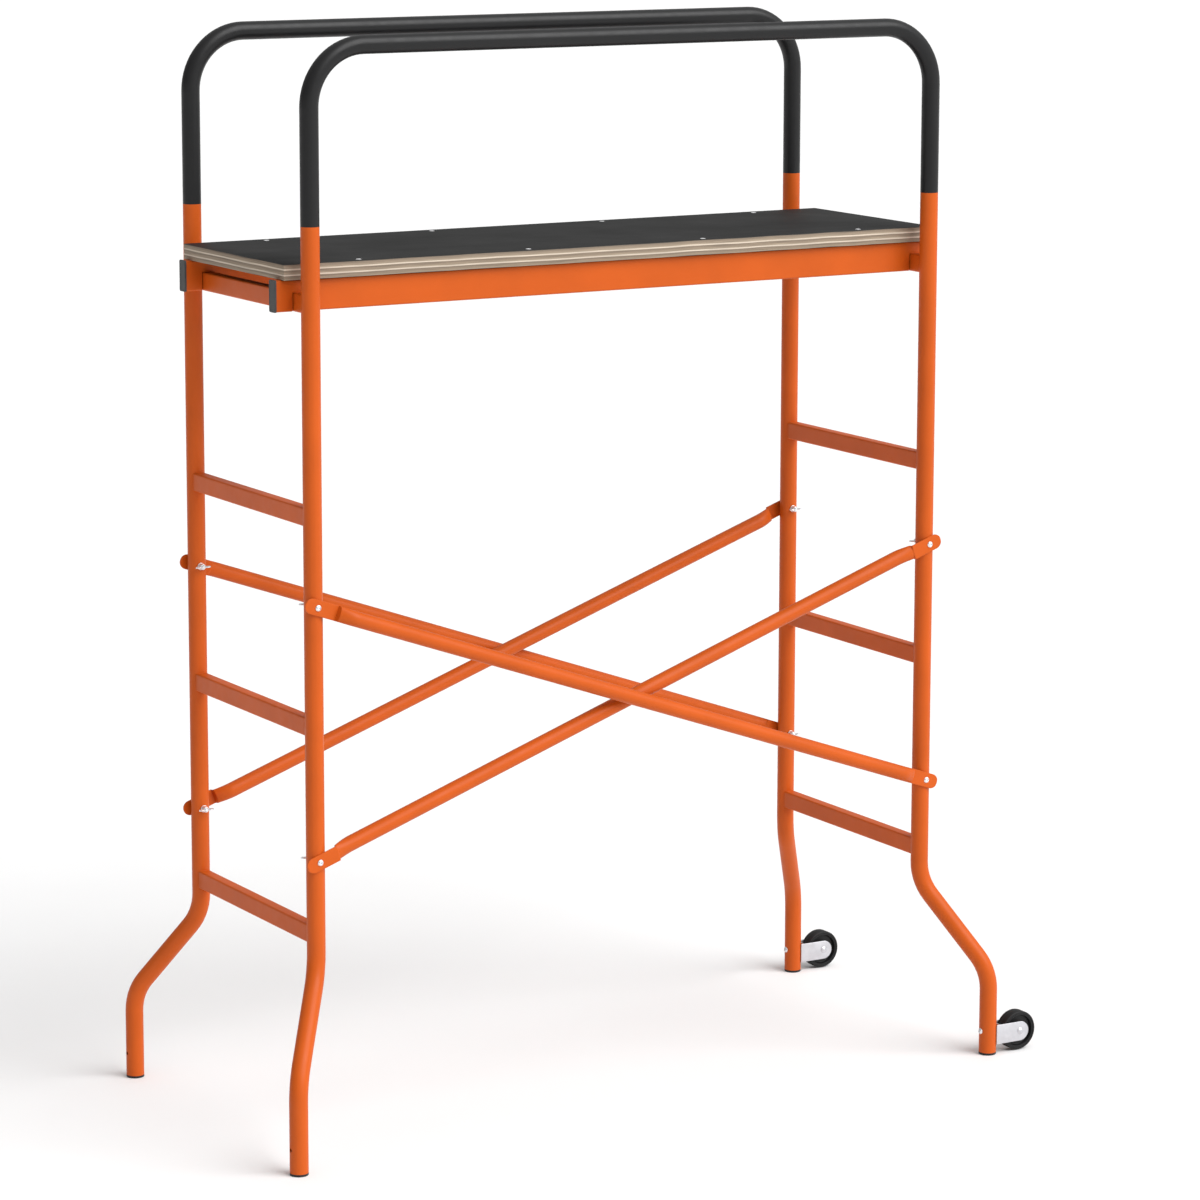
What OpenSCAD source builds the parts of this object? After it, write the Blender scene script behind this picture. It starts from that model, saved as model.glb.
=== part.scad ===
// Baker scaffold: two welded end frames with outswept legs, joined by crossed braces on both long sides,
// with a deck that lifts off, a guard rail that lifts off each side, and two wheels at one end.
// Millimetres, +Z up, X along the scaffold with the wheels at +X. The origin is on the floor, at the middle
// of the overall length and width. The modules draw each piece with X = 0 midway between the uprights.

/* [Overall] */
// Distance between the upright centre lines along the scaffold
post_span_x = 1164; // [950:1:1500]
// Distance between the upright centre lines across the scaffold
post_span_y = 424; // [350:1:600]
// Height of the deck's top face above the floor
deck_height = 1425; // [1180:1:1800]
// Height of the uprights' top ends above the deck
post_above_deck = 61; // [40:1:120]
// Height of the guard rails' top above the uprights' top ends
guard_height = 293; // [240:1:500]

/* [Uprights and legs] */
// Outer diameter of the uprights and guard rails
post_d = 30; // [25:0.5:40]
// Wall of the uprights and guard rails
post_wall = 1.5; // [1:0.1:2.5]
// How far each leg is swept out along the scaffold
kick_x = 82; // [60:1:120]
// How far each leg is swept out across the scaffold
kick_y = 96; // [60:1:130]
// Slant of the swept part from the vertical, in degrees
kick_angle = 40; // [30:1:55]
// Centre-line radius of the two bends in each leg
leg_bend_r = 90; // [60:1:110]
// Height of the straight foot, from the floor to the lower bend
foot_straight = 115; // [95:1:160]
// Diameter of the cross hole in each foot, which takes a wheel fork's bolt
foot_hole_d = 6.5; // [5:0.1:9]

/* [Foot plugs] */
// Thickness of the plug's flange under the tube
plug_t = 4; // [2:0.5:8]
// Length of the plug's stem in the tube
plug_stem = 20; // [12:1:25]
// Wall of the plug's stem
plug_wall = 3; // [1.5:0.5:6]

/* [Rungs] */
// Height of a rung's section
rung_h = 30; // [20:1:40]
// Width of a rung's section along the scaffold
rung_w = 20; // [15:1:30]
// Wall of the rectangular tubes
box_wall = 1.5; // [1:0.1:2.5]
// Corner radius of the rectangular tubes
box_r = 3; // [2:0.5:4]
// Gap from the upper bend of the leg up to the lowest rung
rung_above_bend = 11; // [5:1:60]
// Number of rungs below the bearer in each end frame
rung_count = 3; // [3:1:3]

/* [Braces] */
// Diameter of the brace tube
brace_d = 25; // [20:0.5:32]
// Wall of the brace tube
brace_wall = 1.2; // [0.8:0.1:2]
// Thickness of a brace's pressed flat end
flat_t = 3; // [2:0.1:5]
// Width of a brace's pressed flat end
flat_w = 25; // [22:0.5:36]
// Length of the flat beyond the pin
flat_tip = 23.5; // [16:0.5:30]
// Length from the pin to the tube's full section
flat_shoulder = 66; // [50:0.5:90]
// Length over which the tube is pressed down to the flat
flat_press = 32; // [20:0.5:40]
// Share of the tube's depth that rises at once where the flat ends
crease_share = 0.4; // [0.2:0.05:0.8]
// How far the flat runs on inside the pressed shoulder
flat_lap = 6; // [4:0.5:10]
// Gap between the two braces where they cross
brace_gap = 0.4; // [0.3:0.1:2]
// Height of the lower pins above the lowest rung's top
pin_low_rise = 106; // [60:1:140]
// Height of the upper pins above the second rung's top
pin_high_rise = 180; // [100:1:190]

/* [Fasteners] */
// Diameter of the brace bolts and fork bolts
bolt_d = 6; // [5:0.5:8]
// Difference between a bolt hole and its bolt
bolt_clearance = 0.5; // [0.3:0.1:1]
// Diameter of the bolts' domed head
head_d = 10.5; // [9:0.5:14]
// Height of the bolts' domed head
head_h = 3.3; // [2.5:0.1:5]
// Width across the flats of the key socket in a head
socket_af = 4; // [3:0.5:5]
// Depth of the key socket
socket_depth = 1.8; // [1:0.1:2]
// Diameter of the washer under a wing nut
washer_d = 12; // [11:0.5:18]
// Thickness of that washer
washer_t = 1.6; // [1:0.1:2.5]
// Largest diameter of a wing nut's hub
wing_hub_d = 11; // [10:0.5:14]
// Length of a wing nut's hub
wing_hub_h = 8; // [6:0.5:12]
// Span over a wing nut's wings
wing_span = 26; // [22:1:32]
// Thickness of a wing
wing_t = 2.5; // [1.5:0.1:4]
// Radius of a wing's rounded end
wing_r = 4.5; // [3:0.5:6]
// Running clearance between a wing nut and its bolt, on the radius
thread_gap = 0.05; // [0.02:0.01:0.1]
// Gap between a wing nut and its washer
seat_gap = 0.1; // [0.05:0.05:0.5]
// Length of bolt that shows past a nut
bolt_proud = 2.4; // [1:0.1:5]
// Width across the flats of the fork bolts' hexagon nut
nut_af = 10; // [8:0.5:13]
// Height of that nut
nut_h = 5; // [4:0.5:8]

/* [Wheels] */
// Diameter of the wheels
wheel_d = 68; // [54:1:100]
// Width of the wheels
wheel_w = 22; // [18:1:30]
// Height of the wheels above the floor while the scaffold stands on its feet
wheel_lift = 1; // [0.5:0.5:4]
// Thickness of the rubber tyre
tyre_t = 5; // [5:0.5:8]
// Radius of the tyre's shoulders
tyre_r = 2.5; // [1:0.25:2.5]
// How far the rim stands in from the tyre's sides
rim_inset = 1; // [0.5:0.25:3]
// Thickness of the rim's lip
lip_t = 1.5; // [1:0.25:3]
// Thickness of the rim where the web meets it
rim_t = 3; // [2:0.25:5]
// Thickness of the wheel's web
web_t = 6; // [3:0.5:10]
// Wall of the wheel's hub, around its bush
hub_wall = 4; // [2:0.5:6]
// Diameter of the axle rivets
axle_d = 8; // [6:0.5:10]
// Running clearance between a wheel's bush and its axle, on the radius
axle_gap = 0.05; // [0.02:0.01:0.1]
// Wall of the wheel's bush
bush_wall = 1.5; // [1:0.1:3]
// Diameter of the axle rivets' domed heads
rivet_d = 13; // [10:0.5:18]
// Height of the axle rivets' heads
rivet_h = 2.6; // [2:0.1:4]

/* [Wheel forks] */
// Thickness of the fork's steel strip
fork_t = 2.5; // [2:0.1:4]
// Height of the strip
fork_h = 34; // [26:1:44]
// Gap between the foot and the fork's cheeks where they run back past the web
ear_gap = 0.5; // [0.3:0.1:2]
// Gap between the wheel and each cheek of the fork
cheek_gap = 1; // [0.5:0.1:3]
// Gap between the fork bolt's nut and the wheel
fork_nut_gap = 2.5; // [3:0.5:12]
// Height of the fork bolt above the axle
fork_bolt_rise = 7; // [4:0.5:10]

/* [Guard rails] */
// Centre-line radius of the guard rails' bends
guard_bend_r = 95; // [70:1:130]
// Length of a spigot in the guard rail, and again in the upright
spigot_length = 80; // [50:1:120]
// Running clearance between a spigot and the upright's bore, on the radius
spigot_gap = 0.075; // [0.02:0.005:0.1]
// Wall of a spigot
spigot_wall = 1.5; // [1:0.1:3]

/* [Deck] */
// Thickness of the plywood board
board_t = 25; // [18:0.5:30]
// Length of board beyond the uprights' centre line at each end
deck_overhang = 30; // [20:1:80]
// Gap between the board and the uprights at each side
deck_side_gap = 15.5; // [8:0.5:40]
// Height of a deck rail's section
deck_rail_h = 50; // [44:1:60]
// Width of a deck rail's section
deck_rail_w = 20; // [15:1:30]
// Distance from the board's long edge in to the middle of a deck rail
deck_rail_inset = 18.5; // [12:0.5:40]
// Length of deck rail beyond the board at each end
deck_rail_proud = 9.5; // [0:0.5:20]
// Clearance on each side of a bearer in the deck rails' notches
notch_gap = 1.5; // [0.5:0.1:4]
// Height of a crossbar's section
crossbar_h = 20; // [15:1:24]
// Width of a crossbar's section
crossbar_w = 25; // [15:1:40]
// Distance from the board's end in to the end crossbars and the end screws
deck_end_inset = 140; // [80:1:200]
// Spacing of the two middle pairs of screws
screw_mid_span = 330; // [200:1:400]
// Diameter of the screws' countersunk heads
screw_head_d = 9.2; // [8:0.1:12]
// Height of the screws' countersunk heads
screw_head_h = 2.4; // [2:0.1:4]
// Diameter of the screws
screw_d = 4.8; // [4:0.1:6]
// Length of the screws
screw_length = 40; // [34:1:48]
// Clearance round the screws, on the radius
screw_gap = 0.15; // [0.1:0.05:0.5]
// Thickness of a deck rail's end cap outside the rail
cap_t = 3; // [2:0.5:5]
// How far an end cap stands out round the rail's section
cap_lip = 0.5; // [0:0.1:1]
// Length of an end cap's stem in the rail
cap_stem = 12; // [6:1:16]

/* [Hidden] */
$fn = 48;
corner_steps = 6;

half_x = post_span_x / 2;
half_y = post_span_y / 2;
post_r = post_d / 2;
post_bore_r = post_r - post_wall;
post_top = deck_height + post_above_deck;
bolt_hole_r = (bolt_d + bolt_clearance) / 2;

kick_run = norm([kick_x, kick_y]);
kick_heading = atan2(kick_y, kick_x);
slant_length = (kick_run - 2 * leg_bend_r * (1 - cos(kick_angle))) / sin(kick_angle);
bend_top = foot_straight + 2 * leg_bend_r * sin(kick_angle) + slant_length * cos(kick_angle);
foot_x = half_x + kick_x;
foot_y = half_y + kick_y;

board_bottom = deck_height - board_t;
deck_rail_bottom = board_bottom - deck_rail_h;
bearer_top = deck_rail_bottom + rung_h;
low_rung_top = bend_top + rung_above_bend + rung_h;
rung_pitch = (bearer_top - low_rung_top) / rung_count;

pin_low = low_rung_top + pin_low_rise;
pin_high = low_rung_top + rung_pitch + pin_high_rise;
brace_angle = atan((pin_high - pin_low) / post_span_x);
brace_length = norm([post_span_x, pin_high - pin_low]);
outer_axis_y = -(flat_t + brace_gap + brace_d) / 2;
inner_axis_y = (brace_gap - flat_t + brace_d) / 2;
nut_seat = post_d + washer_t + seat_gap;

wheel_r = wheel_d / 2;
axle_height = wheel_r + wheel_lift;
web_x = foot_x + post_r;
axle_x = web_x + fork_t + nut_h + fork_nut_gap + wheel_r;
fork_bolt_height = axle_height + fork_bolt_rise;
bush_r = axle_d / 2 + axle_gap + bush_wall;
fork_inner_w = wheel_w + 2 * cheek_gap;
fork_outer_w = fork_inner_w + 2 * fork_t;
middle_x = (axle_x + wheel_r - foot_x - post_r) / 2;

guard_top = post_top + guard_height;
guard_axis = guard_top - post_r;

board_l = post_span_x + 2 * deck_overhang;
board_w = post_span_y - post_d - 2 * deck_side_gap;
deck_rail_l = board_l + 2 * deck_rail_proud;
deck_rail_y = board_w / 2 - deck_rail_inset;
end_station = board_l / 2 - deck_end_inset;

ORANGE = [0.86, 0.36, 0.13];
BLACK = [0.10, 0.10, 0.11];
ZINC = [0.78, 0.78, 0.80];
SIDES = [["front", -1], ["rear", 1]];

// Outline of a rectangle with rounded corners, centred
function rounded_box(w, h, r) = [
    for (corner = [0:3], step = [0:corner_steps])
        let (
            turn = 90 * corner + 90 * step / corner_steps,
            cx = (corner == 0 || corner == 3 ? 1 : -1) * (w / 2 - r),
            cy = (corner < 2 ? 1 : -1) * (h / 2 - r)
        )
        [cx + r * cos(turn), cy + r * sin(turn)]
];

// Outline of a strip along X that starts square at x_square and ends in a half round centred on x_round
function round_ended(x_square, x_round, w) =
    let (way = x_round > x_square ? 1 : -1)
    concat(
        [[x_square, -way * w / 2]],
        [for (step = [0:4 * corner_steps])
            let (turn = -90 + 180 * step / (4 * corner_steps))
            [x_round + way * w / 2 * cos(turn), way * w / 2 * sin(turn)]],
        [[x_square, way * w / 2]]
    );

// Puts what is drawn for the +X, +Y corner at another corner
module at_corner(side_x, side_y) {
    mirror([side_x < 0 ? 1 : 0, 0, 0])
        mirror([0, side_y < 0 ? 1 : 0, 0])
            children();
}

module tube_section() {
    difference() {
        circle(r = post_r);
        circle(r = post_bore_r);
    }
}

// A bend in the XZ plane round the origin, from +X towards +Z
module tube_bend(radius, angle) {
    rotate([90, 0, 0])
        rotate_extrude(angle = angle)
            translate([radius, 0])
                tube_section();
}

module box_tube(w, h, length) {
    linear_extrude(length, center = true)
        difference() {
            polygon(rounded_box(w, h, box_r));
            polygon(rounded_box(w - 2 * box_wall, h - 2 * box_wall, box_r - box_wall));
        }
}

// One bent tube: straight upright, S-bend outwards, straight foot
module post_tube() {
    translate([half_x, half_y, 0])
        rotate([0, 0, kick_heading]) {
            translate([0, 0, bend_top])
                linear_extrude(post_top - bend_top)
                    tube_section();
            translate([leg_bend_r, 0, bend_top])
                rotate([0, 180, 0])
                    tube_bend(leg_bend_r, kick_angle);
            translate([leg_bend_r * (1 - cos(kick_angle)), 0, bend_top - leg_bend_r * sin(kick_angle)])
                rotate([0, 180 - kick_angle, 0])
                    linear_extrude(slant_length)
                        tube_section();
            translate([kick_run - leg_bend_r, 0, foot_straight])
                tube_bend(leg_bend_r, kick_angle);
            translate([kick_run, 0, plug_t])
                linear_extrude(foot_straight - plug_t)
                    tube_section();
        }
}

module post(side_x, side_y) {
    color(ORANGE)
        at_corner(side_x, side_y)
            difference() {
                post_tube();
                for (height = [pin_low, pin_high])
                    translate([half_x, half_y, height])
                        rotate([90, 0, 0])
                            cylinder(r = bolt_hole_r, h = 2 * post_d, center = true);
                translate([foot_x, foot_y, fork_bolt_height])
                    rotate([0, 90, 0])
                        cylinder(d = foot_hole_d, h = 2 * post_d, center = true);
            }
}

// Rectangular tube coped to the two uprights that it is welded to
module rung(side_x, top) {
    color(ORANGE)
        translate([side_x * half_x, 0, 0])
            difference() {
                translate([0, 0, top - rung_h / 2])
                    rotate([90, 0, 0])
                        box_tube(rung_w, rung_h, post_span_y);
                for (side_y = [-1, 1])
                    translate([0, side_y * half_y, top - 2 * rung_h])
                        cylinder(r = post_r, h = 3 * rung_h);
            }
}

module foot_plug(side_x, side_y) {
    color(BLACK)
        at_corner(side_x, side_y)
            translate([foot_x, foot_y, 0])
                difference() {
                    union() {
                        cylinder(r = post_r, h = plug_t);
                        cylinder(r = post_bore_r, h = plug_t + plug_stem);
                    }
                    translate([0, 0, plug_t])
                        cylinder(r = post_bore_r - plug_wall, h = plug_stem + 1);
                }
}

// Half of a brace, from its round tip to the middle of the tube. The flat's inner face lies in the XZ
// plane, the pin is on the Y axis and the tube runs along +X.
module brace_half(axis_y) {
    outward = axis_y < 0 ? -1 : 1;
    near_face = axis_y - outward * brace_d / 2;
    far_face = axis_y + outward * brace_d / 2;
    flat_far_face = outward < 0 ? -flat_t : 0;
    press_start = flat_shoulder - flat_press;
    difference() {
        rotate([90, 0, 0])
            linear_extrude(flat_t)
                polygon(round_ended(press_start + flat_lap, flat_w / 2 - flat_tip, flat_w));
        rotate([90, 0, 0])
            cylinder(r = bolt_hole_r, h = 4 * flat_t, center = true);
    }
    intersection() {
        translate([press_start, axis_y, 0])
            rotate([0, 90, 0])
                cylinder(d = brace_d, h = flat_press);
        linear_extrude(2 * brace_d, center = true)
            polygon([
                [press_start, near_face],
                [flat_shoulder, near_face],
                [flat_shoulder, far_face],
                [press_start, flat_far_face + crease_share * (far_face - flat_far_face)]
            ]);
    }
    translate([flat_shoulder, axis_y, 0])
        rotate([0, 90, 0])
            linear_extrude(brace_length / 2 - flat_shoulder)
                difference() {
                    circle(d = brace_d);
                    circle(d = brace_d - 2 * brace_wall);
                }
}

// The outer brace falls towards +X and the inner one rises
module brace(side_y, outer) {
    axis_y = outer ? outer_axis_y : inner_axis_y;
    slope = outer ? brace_angle : -brace_angle;
    color(ORANGE)
        mirror([0, side_y > 0 ? 1 : 0, 0])
            translate([0, -half_y - post_r, (pin_low + pin_high) / 2])
                rotate([0, slope, 0])
                    for (end = [0, 1])
                        mirror([end, 0, 0])
                            translate([-brace_length / 2, 0, 0])
                                brace_half(axis_y);
}

// Places a brace pin's fittings: Y = 0 is the upright's outer face, and +Y points inwards
module at_pin(side_x, side_y, height) {
    mirror([0, side_y > 0 ? 1 : 0, 0])
        translate([side_x * half_x, -half_y - post_r, height])
            children();
}

// Domed head with a key socket, standing on Z = 0
module domed_head(d, h, socket) {
    dome_r = (h * h + d * d / 4) / (2 * h);
    difference() {
        rotate_extrude()
            intersection() {
                translate([0, h - dome_r])
                    circle(r = dome_r, $fn = 96);
                square([d / 2, h]);
            }
        translate([0, 0, h - socket])
            cylinder(d = socket_af / cos(30), h = h, $fn = 6);
    }
}

module brace_bolts() {
    bolt_length = flat_t + nut_seat + wing_hub_h + bolt_proud;
    color(ZINC)
        for (side_x = [-1, 1], side_y = [-1, 1], height = [pin_low, pin_high])
            at_pin(side_x, side_y, height)
                translate([0, -flat_t, 0]) {
                    rotate([90, 0, 0])
                        domed_head(head_d, head_h, socket_depth);
                    rotate([-90, 0, 0])
                        cylinder(d = bolt_d, h = bolt_length);
                }
}

module brace_washers() {
    color(ZINC)
        for (side_x = [-1, 1], side_y = [-1, 1], height = [pin_low, pin_high])
            at_pin(side_x, side_y, height)
                translate([0, post_d, 0])
                    rotate([-90, 0, 0])
                        difference() {
                            cylinder(d = washer_d, h = washer_t);
                            translate([0, 0, -1])
                                cylinder(r = bolt_hole_r, h = washer_t + 2);
                        }
}

// Wings in the XY plane on both sides of a tapered hub along +Y
module wing_nut(side_x, side_y, height) {
    lobe_x = wing_span / 2 - wing_r;
    color(ZINC)
        at_pin(side_x, side_y, height)
            translate([0, nut_seat, 0])
                difference() {
                    union() {
                        rotate([-90, 0, 0])
                            cylinder(d1 = wing_hub_d, d2 = wing_hub_d - 2, h = wing_hub_h);
                        linear_extrude(wing_t, center = true)
                            for (side = [-1, 1]) {
                                translate([side * lobe_x, wing_hub_h])
                                    circle(r = wing_r);
                                polygon([
                                    [0, 1],
                                    [side * lobe_x, wing_hub_h - wing_r],
                                    [side * lobe_x, wing_hub_h + wing_r / 2],
                                    [0, wing_hub_h - 1]
                                ]);
                            }
                    }
                    translate([0, -1, 0])
                        rotate([-90, 0, 0])
                            cylinder(r = bolt_d / 2 + thread_gap, h = 3 * wing_hub_h);
                }
}

module at_fork(side_y) {
    mirror([0, side_y < 0 ? 1 : 0, 0])
        translate([0, foot_y, 0])
            children();
}

// A web against the foot and a round-ended cheek on each side of the wheel, welded together. The cheeks
// run back past the web, beside the foot, so that the fork can't turn on its one bolt.
module wheel_fork(side_y) {
    cheek_y = fork_inner_w / 2;
    ear_x = foot_x + sqrt(max(0, post_r * post_r - cheek_y * cheek_y)) + ear_gap;
    color(ZINC)
        at_fork(side_y)
            difference() {
                union() {
                    translate([web_x, -fork_outer_w / 2, axle_height - fork_h / 2])
                        cube([fork_t, fork_outer_w, fork_h]);
                    for (side = [0, 1])
                        mirror([0, side, 0])
                            translate([0, fork_outer_w / 2, axle_height])
                                rotate([90, 0, 0])
                                    linear_extrude(fork_t)
                                        polygon(round_ended(ear_x, axle_x, fork_h));
                }
                translate([axle_x, 0, axle_height])
                    rotate([90, 0, 0])
                        cylinder(d = axle_d + 2 * axle_gap, h = 2 * fork_outer_w, center = true);
                translate([web_x, 0, fork_bolt_height])
                    rotate([0, 90, 0])
                        cylinder(d = foot_hole_d, h = 4 * fork_t, center = true);
            }
}

module fork_bolts() {
    color(ZINC)
        for (side_y = [-1, 1])
            at_fork(side_y)
                translate([foot_x - post_r, 0, fork_bolt_height]) {
                    rotate([0, -90, 0])
                        domed_head(head_d, head_h, socket_depth);
                    rotate([0, 90, 0])
                        cylinder(d = bolt_d, h = post_d + fork_t + nut_h + bolt_proud / 2);
                }
}

module fork_nuts() {
    color(ZINC)
        for (side_y = [-1, 1])
            at_fork(side_y)
                translate([web_x + fork_t, 0, fork_bolt_height])
                    rotate([0, 90, 0])
                        difference() {
                            cylinder(d = nut_af / cos(30), h = nut_h, $fn = 6);
                            translate([0, 0, -1])
                                cylinder(r = bolt_d / 2 + thread_gap, h = nut_h + 2);
                        }
}

// A rivet through the fork's cheeks with a domed head outside each one
module axle_rivets() {
    color(ZINC)
        for (side_y = [-1, 1])
            at_fork(side_y)
                translate([axle_x, 0, axle_height]) {
                    rotate([90, 0, 0])
                        cylinder(d = axle_d, h = fork_outer_w, center = true);
                    for (side = [0, 1])
                        mirror([0, side, 0])
                            translate([0, fork_outer_w / 2, 0])
                                rotate([-90, 0, 0])
                                    domed_head(rivet_d, rivet_h, 0);
                }
}

// Turns a profile drawn with X as radius and Y as width into a wheel part on its axle
module on_axle(side_y) {
    at_fork(side_y)
        translate([axle_x, 0, axle_height])
            rotate([90, 0, 0])
                rotate_extrude($fn = 96)
                    children();
}

module tyre(side_y) {
    color(BLACK)
        on_axle(side_y) {
            translate([wheel_r - tyre_t, -wheel_w / 2])
                square([tyre_t - tyre_r, wheel_w]);
            translate([wheel_r - tyre_t, -wheel_w / 2 + tyre_r])
                square([tyre_t, wheel_w - 2 * tyre_r]);
            for (side = [-1, 1])
                translate([wheel_r - tyre_r, side * (wheel_w / 2 - tyre_r)])
                    circle(r = tyre_r);
        }
}

// Rim with a lip on each side, a recessed web and a hub, in one moulding
module wheel_centre(side_y) {
    rim_r = wheel_r - tyre_t;
    rim_half_w = wheel_w / 2 - rim_inset;
    hub_r = bush_r + hub_wall;
    half_profile = [
        [bush_r, wheel_w / 2],
        [hub_r, wheel_w / 2],
        [hub_r, web_t / 2],
        [rim_r - rim_t, web_t / 2],
        [rim_r - lip_t, rim_half_w],
        [rim_r, rim_half_w]
    ];
    color([0.16, 0.16, 0.17])
        on_axle(side_y)
            polygon(concat(
                half_profile,
                [for (i = [len(half_profile) - 1:-1:0]) [half_profile[i][0], -half_profile[i][1]]]
            ));
}

module wheel_bush(side_y) {
    bush_l = wheel_w + cheek_gap;
    color(ZINC)
        on_axle(side_y)
            translate([axle_d / 2 + axle_gap, -bush_l / 2])
                square([bush_wall, bush_l]);
}

// Tube bent over both ends, standing on the tops of the two uprights of one side
module guard_rail(side_y) {
    straight_top = guard_axis - guard_bend_r;
    color(BLACK)
        translate([0, side_y * half_y, 0]) {
            for (end = [0, 1])
                mirror([end, 0, 0]) {
                    translate([half_x, 0, post_top])
                        linear_extrude(straight_top - post_top)
                            tube_section();
                    translate([half_x - guard_bend_r, 0, straight_top])
                        tube_bend(guard_bend_r, 90);
                }
            translate([0, 0, guard_axis])
                rotate([0, 90, 0])
                    linear_extrude(post_span_x - 2 * guard_bend_r, center = true)
                        tube_section();
        }
}

// Short tubes fixed in the guard rail's ends, which plug into the uprights
module guard_spigots(side_y) {
    inner_r = post_bore_r - spigot_wall;
    color(ZINC)
        for (side_x = [-1, 1])
            translate([side_x * half_x, side_y * half_y, post_top])
                difference() {
                    union() {
                        cylinder(r = post_bore_r, h = spigot_length);
                        translate([0, 0, -spigot_length])
                            cylinder(r = post_bore_r - spigot_gap, h = spigot_length);
                    }
                    cylinder(r = inner_r, h = 3 * spigot_length, center = true);
                }
}

module at_screws() {
    for (x = [-end_station, -screw_mid_span / 2, screw_mid_span / 2, end_station], side_y = [-1, 1])
        translate([x, side_y * deck_rail_y, deck_height])
            children();
}

module deck_board() {
    color([0.22, 0.22, 0.22])
        difference() {
            translate([-board_l / 2, -board_w / 2, board_bottom])
                cube([board_l, board_w, board_t]);
            at_screws() {
                translate([0, 0, -2 * board_t])
                    cylinder(r = screw_d / 2 + screw_gap, h = 3 * board_t);
                translate([0, 0, -screw_head_h])
                    cylinder(
                        d1 = screw_d + 2 * screw_gap,
                        d2 = screw_head_d + 2 * screw_gap,
                        h = screw_head_h
                    );
            }
        }
}

module deck_screws() {
    color(ZINC)
        at_screws() {
            translate([0, 0, -screw_head_h])
                cylinder(d1 = screw_d, d2 = screw_head_d, h = screw_head_h);
            translate([0, 0, -screw_length])
                cylinder(d = screw_d, h = screw_length - screw_head_h);
        }
}

// Rectangular tube under one long edge of the board, notched from below over both bearers
module deck_rail(side_y) {
    notch_w = rung_w + 2 * notch_gap;
    color(ORANGE)
        difference() {
            translate([0, side_y * deck_rail_y, deck_rail_bottom + deck_rail_h / 2])
                rotate([90, 0, 90])
                    box_tube(deck_rail_w, deck_rail_h, deck_rail_l);
            for (side_x = [-1, 1])
                translate([side_x * half_x - notch_w / 2, -board_w, bearer_top - 2 * rung_h])
                    cube([notch_w, 2 * board_w, 2 * rung_h]);
            at_screws()
                translate([0, 0, -screw_length])
                    cylinder(r = screw_d / 2 + screw_gap, h = screw_length);
        }
}

module crossbar(x) {
    color(ORANGE)
        translate([x, 0, board_bottom - crossbar_h / 2])
            rotate([90, 0, 0])
                box_tube(crossbar_w, crossbar_h, 2 * deck_rail_y - deck_rail_w);
}

module deck_end_caps() {
    face_w = deck_rail_w + 2 * cap_lip;
    face_h = deck_rail_h + 2 * cap_lip;
    stem_w = deck_rail_w - 2 * box_wall;
    stem_h = deck_rail_h - 2 * box_wall;
    color(BLACK)
        for (end = [0, 1], side_y = [-1, 1])
            mirror([end, 0, 0])
                translate([deck_rail_l / 2, side_y * deck_rail_y, deck_rail_bottom + deck_rail_h / 2])
                    rotate([90, 0, 90]) {
                        linear_extrude(cap_t)
                            polygon(rounded_box(face_w, face_h, box_r));
                        translate([0, 0, -cap_stem])
                            linear_extrude(cap_stem)
                                polygon(rounded_box(stem_w, stem_h, box_r - box_wall));
                    }
}

// Moves the middle of the overall length to X = 0
module in_frame() {
    translate([-middle_x, 0, 0])
        children();
}

in_frame() post(-1, -1);  // post_left_front
in_frame() post(-1, 1);  // post_left_rear
in_frame() post(1, -1);  // post_right_front
in_frame() post(1, 1);  // post_right_rear
in_frame() rung(-1, low_rung_top);  // rung_left_low
in_frame() rung(-1, low_rung_top + rung_pitch);  // rung_left_middle
in_frame() rung(-1, low_rung_top + 2 * rung_pitch);  // rung_left_high
in_frame() rung(1, low_rung_top);  // rung_right_low
in_frame() rung(1, low_rung_top + rung_pitch);  // rung_right_middle
in_frame() rung(1, low_rung_top + 2 * rung_pitch);  // rung_right_high
in_frame() rung(-1, bearer_top);  // bearer_left
in_frame() rung(1, bearer_top);  // bearer_right
in_frame() foot_plug(-1, -1);  // foot_plug_left_front
in_frame() foot_plug(-1, 1);  // foot_plug_left_rear
in_frame() foot_plug(1, -1);  // foot_plug_right_front
in_frame() foot_plug(1, 1);  // foot_plug_right_rear
in_frame() brace(-1, true);  // brace_front_outer
in_frame() brace(-1, false);  // brace_front_inner
in_frame() brace(1, true);  // brace_rear_outer
in_frame() brace(1, false);  // brace_rear_inner
in_frame() brace_bolts();
in_frame() brace_washers();
in_frame() wing_nut(-1, -1, pin_low);  // wing_nut_left_front_low
in_frame() wing_nut(-1, -1, pin_high);  // wing_nut_left_front_high
in_frame() wing_nut(-1, 1, pin_low);  // wing_nut_left_rear_low
in_frame() wing_nut(-1, 1, pin_high);  // wing_nut_left_rear_high
in_frame() wing_nut(1, -1, pin_low);  // wing_nut_right_front_low
in_frame() wing_nut(1, -1, pin_high);  // wing_nut_right_front_high
in_frame() wing_nut(1, 1, pin_low);  // wing_nut_right_rear_low
in_frame() wing_nut(1, 1, pin_high);  // wing_nut_right_rear_high
in_frame() wheel_fork(-1);  // wheel_fork_front
in_frame() wheel_fork(1);  // wheel_fork_rear
in_frame() fork_bolts();
in_frame() fork_nuts();
in_frame() axle_rivets();
in_frame() tyre(-1);  // tyre_front
in_frame() wheel_centre(-1);  // wheel_centre_front
in_frame() wheel_bush(-1);  // wheel_bush_front
in_frame() tyre(1);  // tyre_rear
in_frame() wheel_centre(1);  // wheel_centre_rear
in_frame() wheel_bush(1);  // wheel_bush_rear
in_frame() guard_rail(-1);  // guard_rail_front
in_frame() guard_spigots(-1);  // guard_spigots_front
in_frame() guard_rail(1);  // guard_rail_rear
in_frame() guard_spigots(1);  // guard_spigots_rear
in_frame() deck_board();
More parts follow.
